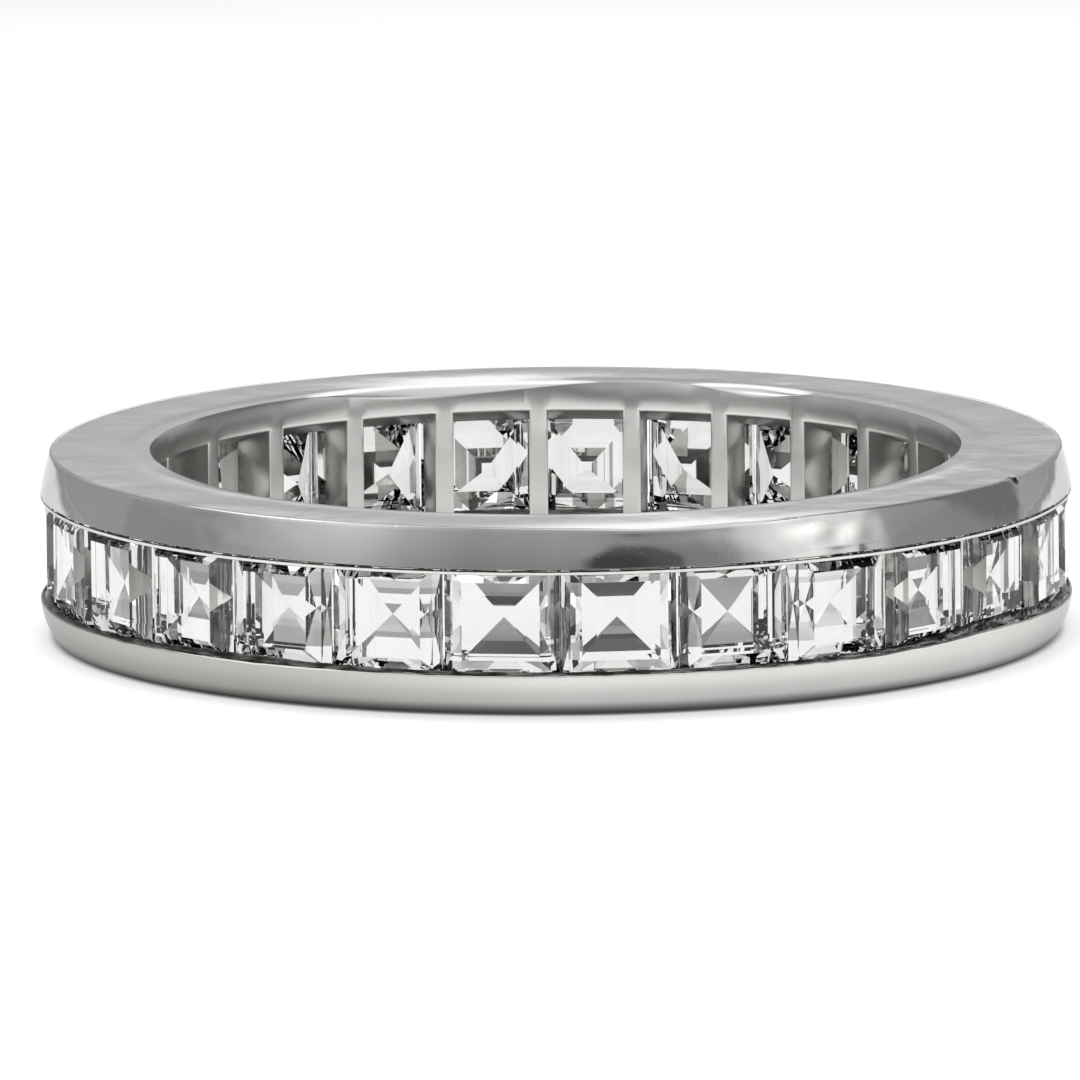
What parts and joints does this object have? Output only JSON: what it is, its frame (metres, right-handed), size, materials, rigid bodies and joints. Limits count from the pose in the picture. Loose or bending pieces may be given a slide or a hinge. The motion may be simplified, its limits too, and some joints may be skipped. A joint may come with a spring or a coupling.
{
  "type": "channel-set diamond eternity ring",
  "caption": "Finger ring with a channel of square step-cut stones set side by side all the way round between two flat-sided rails, over windows cut through to the bore.",
  "frame": {"origin": "on the finger axis, in the plane of the lower side face that the ring lies on", "axes": "+Z along the finger axis, up as the ring lies; -Y towards the picture's camera, +X to the right in the picture"},
  "size_m": [0.021, 0.021, 0.0038],
  "materials": {
    "band_metal": "polished platinum with a fine satin wear",
    "stone": "polished diamond facets"
  },
  "bodies": {
    "root": {"band": "band_metal", "stone_01": "stone", "stone_02": "stone", "stone_03": "stone", "stone_04": "stone", "stone_05": "stone", "stone_06": "stone", "stone_07": "stone", "stone_08": "stone", "stone_09": "stone", "stone_10": "stone", "stone_11": "stone", "stone_12": "stone", "stone_13": "stone", "stone_14": "stone", "stone_15": "stone", "stone_16": "stone", "stone_17": "stone", "stone_18": "stone", "stone_19": "stone", "stone_20": "stone", "stone_21": "stone", "stone_22": "stone", "stone_23": "stone", "stone_24": "stone", "stone_25": "stone", "stone_26": "stone", "stone_27": "stone"}
  },
  "joints": []
}
